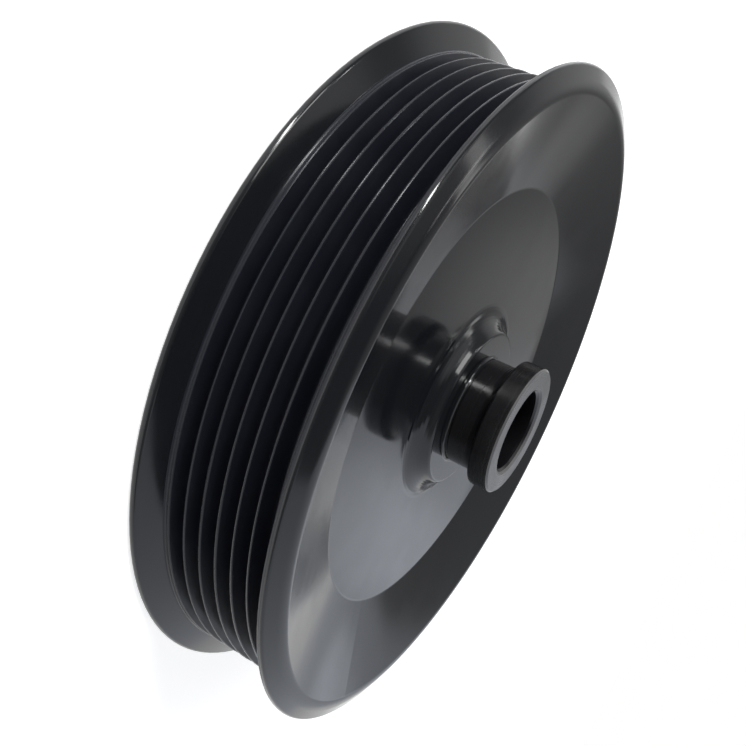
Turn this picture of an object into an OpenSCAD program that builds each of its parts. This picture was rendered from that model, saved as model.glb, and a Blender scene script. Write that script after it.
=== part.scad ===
// Power steering pump pulley: a spun sheet-steel cup with six rolled V-grooves,
// and a turned steel hub that is pressed into the raised boss of its web.
// The axis is +Z. The rim's open rear edge lies on z = 0 and the hub's nose points up.
// All profiles are drawn as [radius, height] points and turned about the axis.

/* [Belt track] */
// Number of V-grooves round the rim
groove_count = 6; // [3:1:8]
// Distance from one groove to the next
groove_pitch = 3.56; // [3.2:0.01:4]
// Angle between the two flanks of a groove
groove_angle = 40; // [36:1:44]
// Diameter over the tips of the ribs between the grooves
rib_tip_d = 142.2; // [120:0.1:170]
// Radius of the rib tips
rib_tip_r = 0.3; // [0.2:0.05:0.4]
// Radius at the bottom of the grooves
groove_root_r = 0.45; // [0.3:0.05:0.5]
// Plain land between the outer grooves and the flanges
land_w = 0.95; // [0.6:0.05:2]
// Metal left under the bottom of the grooves
root_wall_t = 1.65; // [1.2:0.05:2.5]

/* [Flanges] */
// How far both flanges stand above the rib tips
flange_height = 4.95; // [3.5:0.05:7]
// Thickness of the flared rear flange
rear_flange_t = 1.8; // [1.2:0.1:2.4]
// Lean of the rear flange away from the belt
rear_flange_lean = 26; // [10:1:35]
// Thickness of the front flange at its rim, where two folded layers meet
front_flange_t = 2.7; // [2.5:0.1:4]
// How far the belt side of the front flange leans forward up to its rim
front_lean_rise = 1.8; // [0.7:0.1:1.9]
// Bend radius where the front flange turns into the dish
lip_bend_r = 2.5; // [1:0.1:4]
// Distance from the rim of the front flange to its bend into the dish
lip_face_w = 5.2; // [4.6:0.1:6]
// Radius of the crown on the face of the front flange
lip_crown_r = 5.5; // [3:0.5:7]
// Slope of the crown where it meets the rim
lip_crown_lean = 23; // [15:1:25]
// Radius on both corners of the front flange's rim
lip_edge_r = 0.8; // [0.3:0.1:0.8]
// Depth of the crease that the fold leaves inside the rim
fold_crease = 2.5; // [1:0.1:3]

/* [Dish and web] */
// Thickness of the sheet in the dish and the web
sheet_t = 2.5; // [1.8:0.1:3.2]
// Slope of the dish between the front flange and the web
dish_slope = 17; // [8:0.5:25]
// Diameter of the bend between the dish and the web
web_bend_d = 100; // [80:1:115]
// Inside radius of that bend
web_bend_r = 2.0; // [1:0.1:5]

/* [Raised boss of the web] */
// Width of its flat top, from the hub's seat to the edge
boss_top_w = 6.2; // [5.6:0.1:9]
// Height of its top above the web
boss_rise = 3.7; // [2:0.1:5]
// Lean of its wall from the axis
boss_lean = 36; // [20:1:50]
// Radius between the web and the foot of the wall
boss_foot_r = 6; // [2:0.5:7]
// Radius on the edge of the top
boss_edge_r = 1.2; // [0.5:0.1:2]
// Thickness of the lip round the hub, in front
boss_lip_t = 0.5; // [0.3:0.05:0.8]
// Height of that lip above the boss
boss_lip_rise = 0.5; // [0.3:0.05:0.6]
// Thickness of the collar round the hub, behind
collar_t = 2.4; // [1.8:0.1:2.8]
// Length of that collar behind the boss's sheet
collar_depth = 4; // [2:0.5:4.5]

/* [Hub] */
// Diameter of the bore for the pump shaft
bore_d = 19.05; // [15:0.05:21]
// Chamfer at both ends of the bore
bore_chamfer = 1.0; // [0.3:0.1:1.5]
// Diameter of the seat that is pressed into the boss and its collar
hub_seat_d = 24.4; // [22:0.1:30]
// Diameter of the neck that a puller closes round
hub_neck_d = 25; // [23:0.1:32]
// Diameter of the puller flange at the nose
hub_flange_d = 30; // [27:0.5:38]
// Height of the hub's nose above the web
hub_nose_rise = 16; // [12:0.5:25]
// Length of the puller flange at full diameter
hub_flange_w = 5.0; // [3:0.1:8]
// Radius between the neck and the puller flange
hub_fillet_r = 2.0; // [0.5:0.1:2.2]
// Height of the neck's start above the top of the boss
neck_rise = 0.7; // [0.6:0.1:2]
// How far the hub reaches behind the front of the web
hub_tail_reach = 7; // [6:0.5:9]
// Chamfer on the hub's outer corners
hub_chamfer = 0.4; // [0.1:0.1:0.8]

/* [Hidden] */
$fn = 180;

// Steps in which every bend and fillet is drawn
bend_steps = 8;
tip_steps = 4;
crown_steps = 12;

// Rolled belt track, measured from the middle of the belt
rib_tip_radius = rib_tip_d / 2;
flank_lean = groove_angle / 2;
// A sharp corner stands this far beyond the rounded one, for each millimetre of its radius
sharp_share = 1 / sin(flank_lean) - 1;
sharp_tip_radius = rib_tip_radius + rib_tip_r * sharp_share;
sharp_root_radius = sharp_tip_radius - groove_pitch / 2 / tan(flank_lean);
groove_root_radius = sharp_root_radius + groove_root_r * sharp_share;
rim_inner_radius = groove_root_radius - root_wall_t;
groove_mouth_w = groove_pitch - 2 * (sharp_tip_radius - rib_tip_radius) * tan(flank_lean);
land_start = (groove_count - 1) * groove_pitch / 2 + groove_mouth_w / 2;
land_end = land_start + land_w;

// Rounding of a folded or cut edge, as a share of the radius that would leave no flat
edge_share = 0.99;

// Flanges
flange_radius = rib_tip_radius + flange_height;
rear_edge_r = rear_flange_t / 2;
rear_edge_radius = flange_radius - rear_edge_r;
rear_lean_drop = (rear_edge_radius - rib_tip_radius) * tan(rear_flange_lean);
rear_edge_offset = land_end + rear_edge_r / cos(rear_flange_lean) + rear_lean_drop;
track_fillet_r = 0.5;

// Heights above the rear edge
belt_z = rear_edge_offset + rear_edge_r;
front_edge_z = belt_z + land_end + front_lean_rise;
lip_face_z = front_edge_z + front_flange_t;

// Crown of the front flange, whose bend into the dish starts where the crown ends
lip_bend_radius = flange_radius - lip_face_w;
lip_crown_radius = lip_bend_radius
    + (lip_bend_r * tan(dish_slope / 2) + lip_crown_r * tan(lip_crown_lean / 2)) / edge_share;
lip_shoulder_z = lip_face_z - (flange_radius - lip_crown_radius) * tan(lip_crown_lean);

// Front faces of the dish, the web and the boss
web_bend_radius = web_bend_d / 2;
web_bend_z = lip_face_z - (lip_bend_radius - web_bend_radius) * tan(dish_slope);
hub_seat_radius = hub_seat_d / 2;
lip_radius = hub_seat_radius + boss_lip_t;
boss_radius = hub_seat_radius + boss_top_w;
boss_top_z = web_bend_z + boss_rise;
boss_foot_radius = boss_radius + boss_rise * tan(boss_lean);

// Rear faces, one sheet thickness behind the front ones
web_back_z = web_bend_z - sheet_t;
back_bend_radius = web_bend_radius + sheet_t * tan(dish_slope / 2);
boss_back_shift = sheet_t * tan((90 - boss_lean) / 2);
boss_back_z = boss_top_z - sheet_t;
boss_back_edge_r = 0.5;
collar_radius = hub_seat_radius + collar_t;
collar_root_r = 0.8;

// Crease between the two layers of the front flange, seen from inside the rim
crease_radius = rim_inner_radius + fold_crease;
crease_z = lip_face_z - (lip_bend_radius - crease_radius) * tan(dish_slope) - sheet_t / cos(dish_slope);
fold_lean = 50;
fold_round_r = 0.3;
fold_mouth_r = 2;
flare_back_r = 3.5;

// Hub
hub_nose_z = web_bend_z + hub_nose_rise;
hub_tail_z = web_bend_z - hub_tail_reach;
neck_z = boss_top_z + neck_rise;
neck_radius = hub_neck_d / 2;
hub_flange_radius = hub_flange_d / 2;
bore_radius = bore_d / 2;

// Foot radius of the boss's wall, which leaves room on the wall for the radius at its top
function foot_r(wanted, edge_r) =
    min(wanted, edge_share * boss_rise / cos(boss_lean) / tan((90 - boss_lean) / 2) - edge_r);

function unit(v) = v / norm(v);

// Points of the arc that rounds corner b, between its neighbours a and c, with radius r
function corner_arc(a, b, c, r, steps) =
    r == 0 ? [b] :
    let (
        to_a = unit(a - b),
        to_c = unit(c - b),
        half = acos(max(-1, min(1, to_a * to_c))) / 2,
        centre = b + unit(to_a + to_c) * r / sin(half),
        start = b + to_a * r / tan(half) - centre,
        end = b + to_c * r / tan(half) - centre,
        first = atan2(start.y, start.x),
        turn = atan2(start.x * end.y - start.y * end.x, start * end)
    )
    [for (i = [0 : steps]) centre + r * [cos(first + turn * i / steps), sin(first + turn * i / steps)]];

// Closed outline whose corners are given as [radius, height, corner radius, steps]
function rounded(corners) =
    let (n = len(corners))
    [for (i = [0 : n - 1])
        let (a = corners[(i + n - 1) % n], b = corners[i], c = corners[(i + 1) % n])
        each corner_arc([a.x, a.y], [b.x, b.y], [c.x, c.y], b[2], b[3])];

// Corners of the belt track from its rear land to its front land
function track_corners() = [
    [rib_tip_radius, belt_z - land_end, track_fillet_r, tip_steps],
    [rib_tip_radius, belt_z - land_start, rib_tip_r, tip_steps],
    for (i = [0 : groove_count - 1])
        let (z = belt_z + (i - (groove_count - 1) / 2) * groove_pitch)
        each [
            [sharp_root_radius, z, groove_root_r, tip_steps],
            if (i < groove_count - 1)
                [sharp_tip_radius, z + groove_pitch / 2, rib_tip_r, tip_steps]
        ],
    [rib_tip_radius, belt_z + land_start, rib_tip_r, tip_steps],
    [rib_tip_radius, belt_z + land_end, track_fillet_r, tip_steps]
];

// Spun shell: flared rear flange, rolled track, folded front flange, dish, web and raised boss
module pulley_shell() {
    lean = rear_flange_lean;
    edge = [rear_edge_radius, belt_z - rear_edge_offset];
    along = [cos(lean), -sin(lean)];
    across = [sin(lean), cos(lean)] * rear_edge_r;
    edge_round = rear_edge_r * edge_share;
    outer_tip = edge + along * rear_edge_r + across;
    inner_tip = edge + along * rear_edge_r - across;
    inner_root = [rim_inner_radius,
        inner_tip.y + (inner_tip.x - rim_inner_radius) * tan(lean)];
    color([0.09, 0.09, 0.11])
    rotate_extrude()
    polygon(rounded([
        [outer_tip.x, outer_tip.y, edge_round, bend_steps],
        each track_corners(),
        [flange_radius, front_edge_z, lip_edge_r, bend_steps],
        [flange_radius, lip_shoulder_z, lip_edge_r, bend_steps],
        [lip_crown_radius, lip_face_z, lip_crown_r, crown_steps],
        [lip_bend_radius, lip_face_z, lip_bend_r, bend_steps],
        [web_bend_radius, web_bend_z, web_bend_r, bend_steps],
        [boss_foot_radius, web_bend_z, foot_r(boss_foot_r, boss_edge_r), bend_steps],
        [boss_radius, boss_top_z, boss_edge_r, bend_steps],
        [lip_radius, boss_top_z, boss_lip_rise * edge_share, tip_steps],
        [lip_radius, boss_top_z + boss_lip_rise, 0, 0],
        [hub_seat_radius, boss_top_z + boss_lip_rise, 0, 0],
        [hub_seat_radius, boss_back_z - collar_depth, 0, 0],
        [collar_radius, boss_back_z - collar_depth, 0, 0],
        [collar_radius, boss_back_z, collar_root_r, tip_steps],
        [boss_radius - boss_back_shift, boss_back_z, boss_back_edge_r, tip_steps],
        [boss_foot_radius - boss_back_shift, web_back_z,
            foot_r(boss_foot_r + sheet_t, boss_back_edge_r), bend_steps],
        [back_bend_radius, web_back_z, web_bend_r, bend_steps],
        [crease_radius, crease_z, fold_round_r, tip_steps],
        [rim_inner_radius, crease_z - fold_crease * tan(fold_lean), fold_mouth_r, bend_steps],
        [inner_root.x, inner_root.y, flare_back_r, bend_steps],
        [inner_tip.x, inner_tip.y, edge_round, bend_steps]
    ]));
}

// Turned hub: tail, press seat, neck, puller flange and the bore for the pump shaft
module hub() {
    color([0.12, 0.12, 0.13])
    rotate_extrude()
    polygon(rounded([
        [bore_radius + bore_chamfer, hub_tail_z, 0, 0],
        [hub_seat_radius - hub_chamfer, hub_tail_z, 0, 0],
        [hub_seat_radius, hub_tail_z + hub_chamfer, 0, 0],
        [hub_seat_radius, neck_z, 0, 0],
        [neck_radius, neck_z + neck_radius - hub_seat_radius, 0, 0],
        [neck_radius, hub_nose_z - hub_flange_w, hub_fillet_r, bend_steps],
        [hub_flange_radius, hub_nose_z - hub_flange_w, hub_chamfer, tip_steps],
        [hub_flange_radius, hub_nose_z - hub_chamfer, 0, 0],
        [hub_flange_radius - hub_chamfer, hub_nose_z, 0, 0],
        [bore_radius + bore_chamfer, hub_nose_z, 0, 0],
        [bore_radius, hub_nose_z - bore_chamfer, 0, 0],
        [bore_radius, hub_tail_z + bore_chamfer, 0, 0]
    ]));
}

pulley_shell();
hub();
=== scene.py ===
"""Looks of the power steering pump pulley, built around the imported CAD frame."""
import math

import bpy
from mathutils import Matrix, Vector

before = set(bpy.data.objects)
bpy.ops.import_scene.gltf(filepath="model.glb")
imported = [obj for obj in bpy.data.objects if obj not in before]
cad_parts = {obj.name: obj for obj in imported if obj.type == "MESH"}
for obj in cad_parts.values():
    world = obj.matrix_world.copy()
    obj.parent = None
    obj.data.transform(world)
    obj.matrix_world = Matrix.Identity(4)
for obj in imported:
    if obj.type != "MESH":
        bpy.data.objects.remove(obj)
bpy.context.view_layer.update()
MM = 0.001

# Camera, as the photograph was taken. The pulley's axis and the middle of its belt track are in camera
# space, in millimetres: X to the right, Y down, Z away.
BELT_Z = 15.3
FOCAL_PX = 890.0
IMAGE_PX = 746.0
CENTRE_PX = (421.4, 412.2)
SENSOR_MM = 36.0
AXIS_TILT = math.radians(70.81)
AXIS_ROLL = math.radians(25.90)
BELT_CENTRE = Vector((0.14, -6.14, 205.8))
CLIP_START, CLIP_END = 0.01, 20.0

# Heights and radii of the CAD solids that the materials follow, in millimetres
TRACK_LOW, TRACK_HIGH, RIM_MIDDLE = 3.6, 27.0, 29.1
TRACK_INNER, TIP_INNER = 67.0, 70.86
NOSE_Z, NOSE_BAND, NOSE_INNER = 40.842, 0.45, 9.6

# Grain of the surfaces: noise scales per metre, depth of the bumps, and the noise values between which
# the roughness goes from its low to its high share
COAT_GLOSS_SCALE, COAT_PEEL_SCALE, TURNED_GLOSS_SCALE, FINE_DETAIL = 90.0, 700.0, 160.0, 3.0
BUMP_DEPTH = 0.02 * MM
COAT_NOISE, TURNED_NOISE = (0.35, 0.65), (0.7, 1.3)
LOW_SHARE, HIGH_SHARE = 0.8, 1.25
FILM_IOR = 1.5

# Floor: size and depth below the rim in metres, paint, and what it shines by itself
FLOOR_SIZE, FLOOR_DEPTH = 8.0, 0.0001
FLOOR_PAINT, FLOOR_GLOW = 0.8, 0.72

# World. X, Y and Z are the parts of a direction. The pale card lies on the +X side of an edge, whose X is
# CARD_EDGE on the horizon and grows by CARD_LEAN per Z up to LEAN_TOP and by CARD_RISE per Z from RISE_FROM.
CARD_EDGE, CARD_LEAN, LEAN_TOP, CARD_RISE, RISE_FROM = -0.17, 0.36, 0.50, 1.2, 0.64

# Ramps of the world: start, end and, unless they are 0 and 1, the values there
EDGE_SOFTNESS_Z = (0.0, 0.45, 0.15, 0.03)
CARD_END_Y = (-0.32, -0.10)
CARD_LIGHT_X = (0.25, 0.60, 0.72, 0.86)
ROOM_LIGHT_Z = (0.70, 0.92, 0.26, 0.09)
HORIZON_Z, HORIZON_BEHIND_Z, HORIZON_LOW_Z = (0.22, 0.18), (0.165, 0.125), (0.055, 0.03)
BEHIND_X, BEHIND_Y = (0.34, 0.26), (0.3, 0.5)
NOTCH_RIGHT_X, NOTCH_LEFT_X = (-0.02, -0.12), (-0.50, -0.36)

# Soft round glows: azimuth, elevation, angles where they are full and gone, strength
ROOM_GLOWS = ((-46, 14, 8, 24, 0.38), (-88, 61, 8, 28, 0.60), (-9, 15, 1, 8, 0.18))
CARD_GLOW = (9.0, 19.2, 1, 6.5, 0.50)
WHITE, CARD_TINT = (1.0, 1.0, 1.0, 1.0), (0.94, 0.985, 1.075, 1.0)

# Strip lights: azimuth and elevation of both ends, width in metres, radiance
LAMP_DISTANCE, LAMP_AIM = 2.0, Vector((0, 0, 0.02))
STRIPS = {
    "key_strip": ((-132, 1.5), (-130, 40), 0.20, 36.0),
    "side_strip": ((-138, 49), (-101, 39), 0.26, 6.0),
    "small_strip": ((-86, 41), (-79, 44), 0.08, 16.0),
    "top_strip": ((-62, 48), (-34, 45), 0.16, 1.6),
    "crown_strip": ((-47, 44), (-34, 56), 0.10, 3.0),
    "short_strip": ((-36, 47), (-19, 29), 0.14, 1.4),
}

# Sockets of a colour mix, whose names its other kinds of sockets share
MIX_A, MIX_B, MIX_RESULT = 6, 7, 2


def make_camera():
    axis = Vector((math.sin(AXIS_TILT) * math.cos(AXIS_ROLL),
                   math.sin(AXIS_TILT) * math.sin(AXIS_ROLL), -math.cos(AXIS_TILT)))
    side = Vector((-math.sin(AXIS_ROLL), math.cos(AXIS_ROLL), 0.0))
    away = axis.cross(side)
    rows = (side, away, axis)
    place = Vector([-row.dot(BELT_CENTRE) for row in rows]) + Vector((0, 0, BELT_Z))
    turn = Matrix([(row.x, -row.y, -row.z) for row in rows])
    data = bpy.data.cameras.new("camera")
    data.sensor_width = SENSOR_MM
    data.lens = FOCAL_PX / IMAGE_PX * SENSOR_MM
    data.shift_x = -(CENTRE_PX[0] - IMAGE_PX / 2) / IMAGE_PX
    data.shift_y = (CENTRE_PX[1] - IMAGE_PX / 2) / IMAGE_PX
    data.clip_start, data.clip_end = CLIP_START, CLIP_END
    camera = bpy.data.objects.new("camera", data)
    camera.matrix_world = Matrix.Translation(place * MM) @ turn.to_4x4()
    bpy.context.scene.collection.objects.link(camera)
    bpy.context.scene.camera = camera


class Tree:
    """Small helper that adds nodes and links them, with numbers written straight on sockets."""

    def __init__(self, owner, output_type):
        owner.use_nodes = True
        self.nodes = owner.node_tree.nodes
        self.links = owner.node_tree.links
        self.nodes.clear()
        self.output = self.nodes.new(output_type)

    def add(self, node_type, inputs=None, **settings):
        node = self.nodes.new(node_type)
        for name, value in settings.items():
            setattr(node, name, value)
        for name, value in (inputs or {}).items():
            if isinstance(value, bpy.types.NodeSocket):
                self.links.new(value, node.inputs[name])
            else:
                node.inputs[name].default_value = value
        return node

    def math(self, operation, a, b=0.0):
        return self.add("ShaderNodeMath", {0: a, 1: b}, operation=operation).outputs[0]

    def ramp(self, value, low, high, out_low=0.0, out_high=1.0):
        return self.add("ShaderNodeMapRange", {"Value": value, "From Min": low, "From Max": high,
                                               "To Min": out_low, "To Max": out_high},
                        interpolation_type="SMOOTHSTEP").outputs[0]

    def between(self, share, at_none, at_full):
        return self.add("ShaderNodeMapRange", {"Value": share, "To Min": at_none,
                                               "To Max": at_full}).outputs[0]

    def finish(self, socket):
        self.links.new(socket, self.output.inputs["Surface"])


def material_tree(name):
    material = bpy.data.materials.new(name)
    return material, Tree(material, "ShaderNodeOutputMaterial")


def noise(tree, place, scale, detail=2.0):
    return tree.add("ShaderNodeTexNoise", {"Vector": place, "Scale": scale, "Detail": detail}).outputs[0]


def coat(name, base, roughness, peel, specular=0.5):
    """Black dip coat: a smooth film with a faint orange peel and slightly uneven gloss."""
    material, tree = material_tree(name)
    place = tree.add("ShaderNodeTexCoord").outputs["Object"]
    uneven = noise(tree, place, COAT_GLOSS_SCALE, FINE_DETAIL)
    rough = tree.ramp(uneven, *COAT_NOISE, roughness * LOW_SHARE, roughness * HIGH_SHARE)
    ripple = noise(tree, place, COAT_PEEL_SCALE)
    bump = tree.add("ShaderNodeBump", {"Height": ripple, "Strength": peel, "Distance": BUMP_DEPTH})
    shader = tree.add("ShaderNodeBsdfPrincipled", {
        "Base Color": (*base, 1.0), "Roughness": rough, "IOR": FILM_IOR,
        "Specular IOR Level": specular, "Normal": bump.outputs[0]})
    tree.finish(shader.outputs[0])
    return material


def turned(name, base, roughness, ring_scale, ring_strength, along_axis):
    """Turned steel under a thin black film: fine tool rings and small changes of gloss."""
    material, tree = material_tree(name)
    place = tree.add("ShaderNodeTexCoord").outputs["Object"]
    parts = tree.add("ShaderNodeSeparateXYZ", {0: place})
    if along_axis:
        run = parts.outputs["Z"]
    else:
        squares = tree.math("ADD", tree.math("POWER", parts.outputs["X"], 2.0),
                            tree.math("POWER", parts.outputs["Y"], 2.0))
        run = tree.math("SQRT", squares)
    rings = tree.add("ShaderNodeTexNoise", {"W": run, "Scale": ring_scale, "Detail": FINE_DETAIL},
                     noise_dimensions="1D").outputs[0]
    uneven = noise(tree, place, TURNED_GLOSS_SCALE, FINE_DETAIL)
    rough = tree.ramp(tree.math("ADD", rings, uneven), *TURNED_NOISE,
                      roughness * LOW_SHARE, roughness * HIGH_SHARE)
    bump = tree.add("ShaderNodeBump", {"Height": rings, "Strength": ring_strength, "Distance": BUMP_DEPTH})
    shader = tree.add("ShaderNodeBsdfPrincipled", {
        "Base Color": (*base, 1.0), "Roughness": rough, "IOR": FILM_IOR, "Normal": bump.outputs[0]})
    tree.finish(shader.outputs[0])
    return material


def assign(node, materials, choose):
    """Gives each face of a CAD node the material that its middle asks for."""
    mesh = node.data
    mesh.materials.clear()
    for material in materials:
        mesh.materials.append(material)
    place = node.matrix_world
    for face in mesh.polygons:
        middle = place @ face.center / MM
        face.material_index = choose(math.hypot(middle.x, middle.y), middle.z)


def choose_shell(radius, height):
    """0 is the glossy coat, 1 the rougher coat beside and between the ribs and on the rim's belt side, 2 the
    coat on the rib tips. The weaker reflection of 1 and 2 is painted shade.
    """
    if radius < TRACK_INNER or not TRACK_LOW < height < RIM_MIDDLE:
        return 0
    return 2 if radius > TIP_INNER and height < TRACK_HIGH else 1


def choose_hub(radius, height):
    """0 is the black film, 1 the worn face of the nose."""
    return 1 if height > NOSE_Z - NOSE_BAND and radius > NOSE_INNER else 0


def make_floor():
    """Plain white floor, which shines by itself where the camera or a mirror ray sees it."""
    bpy.ops.mesh.primitive_plane_add(size=FLOOR_SIZE, location=(0, 0, -FLOOR_DEPTH))
    floor = bpy.context.object
    floor.name = "floor"
    material, tree = material_tree("floor_white")
    path = tree.add("ShaderNodeLightPath").outputs
    seen = tree.math("MAXIMUM", path["Is Camera Ray"],
                     tree.math("MAXIMUM", path["Is Glossy Ray"], path["Is Transmission Ray"]))
    paint = tree.add("ShaderNodeBsdfDiffuse", {"Color": (FLOOR_PAINT, FLOOR_PAINT, FLOOR_PAINT, 1.0)})
    glow = tree.add("ShaderNodeEmission", {"Strength": tree.math("MULTIPLY", seen, FLOOR_GLOW)})
    tree.finish(tree.add("ShaderNodeAddShader", {0: paint.outputs[0], 1: glow.outputs[0]}).outputs[0])
    floor.data.materials.append(material)


def toward(azimuth, elevation):
    """Direction of an azimuth and an elevation in degrees. Azimuth 0 is +Y and 90 is +X."""
    around, up = math.radians(azimuth), math.radians(elevation)
    return Vector((math.sin(around) * math.cos(up), math.cos(around) * math.cos(up), math.sin(up)))


def glow_round(tree, direction, azimuth, elevation, inner, outer, strength):
    """Soft round glow, full within the inner angle and gone at the outer one."""
    near = tree.add("ShaderNodeVectorMath", {0: direction, 1: toward(azimuth, elevation)},
                    operation="DOT_PRODUCT")
    return tree.ramp(near.outputs["Value"], math.cos(math.radians(outer)),
                     math.cos(math.radians(inner)), 0.0, strength)


def pale_card(tree, way):
    """Share of the card in each direction, with an edge that is softer near the horizon."""
    above = tree.math("MAXIMUM", tree.math("SUBTRACT", way["Z"], RISE_FROM), 0.0)
    rise = tree.math("MULTIPLY", above, CARD_RISE)
    lean = tree.math("MULTIPLY", tree.math("MINIMUM", way["Z"], LEAN_TOP), CARD_LEAN)
    edge = tree.math("ADD", lean, tree.math("ADD", rise, CARD_EDGE))
    softness = tree.ramp(way["Z"], *EDGE_SOFTNESS_Z)
    card = tree.ramp(tree.math("DIVIDE", tree.math("SUBTRACT", way["X"], edge), softness), -1.0, 1.0)
    return tree.math("MULTIPLY", card, tree.ramp(way["Y"], *CARD_END_Y))


def white_horizon(tree, way):
    """Share of plain white. It ends lower behind the pulley, and still lower in a notch there."""
    ahead = tree.ramp(way["Y"], *BEHIND_Y)
    behind = tree.math("MULTIPLY", tree.ramp(way["X"], *BEHIND_X), ahead)
    band = tree.between(behind, tree.ramp(way["Z"], *HORIZON_Z), tree.ramp(way["Z"], *HORIZON_BEHIND_Z))
    notch = tree.math("MULTIPLY", tree.ramp(way["X"], *NOTCH_RIGHT_X), tree.ramp(way["X"], *NOTCH_LEFT_X))
    notch = tree.math("MULTIPLY", notch, ahead)
    band = tree.math("MULTIPLY", band, tree.math("SUBTRACT", 1.0, notch))
    return tree.math("MAXIMUM", band, tree.ramp(way["Z"], *HORIZON_LOW_Z))


def make_world():
    """White round the horizon, a pale card that leans in from +X, and a dim room above the rest."""
    world = bpy.data.worlds.new("studio")
    bpy.context.scene.world = world
    tree = Tree(world, "ShaderNodeOutputWorld")
    direction = tree.add("ShaderNodeTexCoord").outputs["Generated"]
    way = tree.add("ShaderNodeSeparateXYZ", {0: direction}).outputs
    card = pale_card(tree, way)
    horizon = white_horizon(tree, way)
    room = tree.ramp(way["Z"], *ROOM_LIGHT_Z)
    for spot in ROOM_GLOWS:
        room = tree.math("ADD", room, glow_round(tree, direction, *spot))
    card_level = tree.math("ADD", glow_round(tree, direction, *CARD_GLOW),
                           tree.ramp(way["X"], *CARD_LIGHT_X))
    strength = tree.between(horizon, tree.between(card, room, card_level), 1.0)
    tint = tree.add("ShaderNodeMix", {"Factor": card, MIX_A: WHITE, MIX_B: CARD_TINT}, data_type="RGBA")
    tint = tree.add("ShaderNodeMix", {"Factor": horizon, MIX_A: tint.outputs[MIX_RESULT], MIX_B: WHITE},
                    data_type="RGBA")
    tree.finish(tree.add("ShaderNodeBackground", {"Color": tint.outputs[MIX_RESULT],
                                                  "Strength": strength}).outputs[0])


def strip_lamp(name, start, end, width, radiance):
    """Straight strip light between two directions, each an azimuth and an elevation, facing the pulley."""
    ends = [toward(*start), toward(*end)]
    away = (ends[0] + ends[1]).normalized()
    along = (ends[1] - ends[0]).normalized()
    across = away.cross(along)
    length = 2 * LAMP_DISTANCE * math.tan(ends[0].angle(ends[1]) / 2)
    data = bpy.data.lights.new(name, "AREA")
    data.shape = "RECTANGLE"
    data.size, data.size_y = length, width
    data.energy = radiance * math.pi * length * width
    lamp = bpy.data.objects.new(name, data)
    turn = Matrix((along, across, away)).transposed().to_4x4()
    lamp.matrix_world = Matrix.Translation(LAMP_AIM + LAMP_DISTANCE * away) @ turn
    bpy.context.scene.collection.objects.link(lamp)


make_camera()
bpy.context.scene.view_settings.view_transform = "Standard"

# The track and rib tip coats have a lower specular level. This is painted shade that darkens the grooves,
# the rib tips and the rim's belt side.
assign(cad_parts["pulley_shell"], [
    coat("e_coat", (0.008, 0.009, 0.011), roughness=0.11, peel=0.035),
    coat("track_coat_painted_shade", (0.009, 0.010, 0.015), roughness=0.35, peel=0.10, specular=0.3),
    coat("rib_tip_coat_painted_shade", (0.010, 0.012, 0.018), roughness=0.22, peel=0.05, specular=0.3)], choose_shell)
assign(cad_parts["hub"], [
    turned("hub_coat", (0.006, 0.006, 0.007), roughness=0.22, ring_scale=2500.0, ring_strength=0.05,
           along_axis=True),
    turned("nose_face", (0.09, 0.09, 0.093), roughness=0.32, ring_scale=5000.0, ring_strength=0.25,
           along_axis=False)], choose_hub)

make_floor()
make_world()
for strip_name, strip in STRIPS.items():
    strip_lamp(strip_name, *strip)
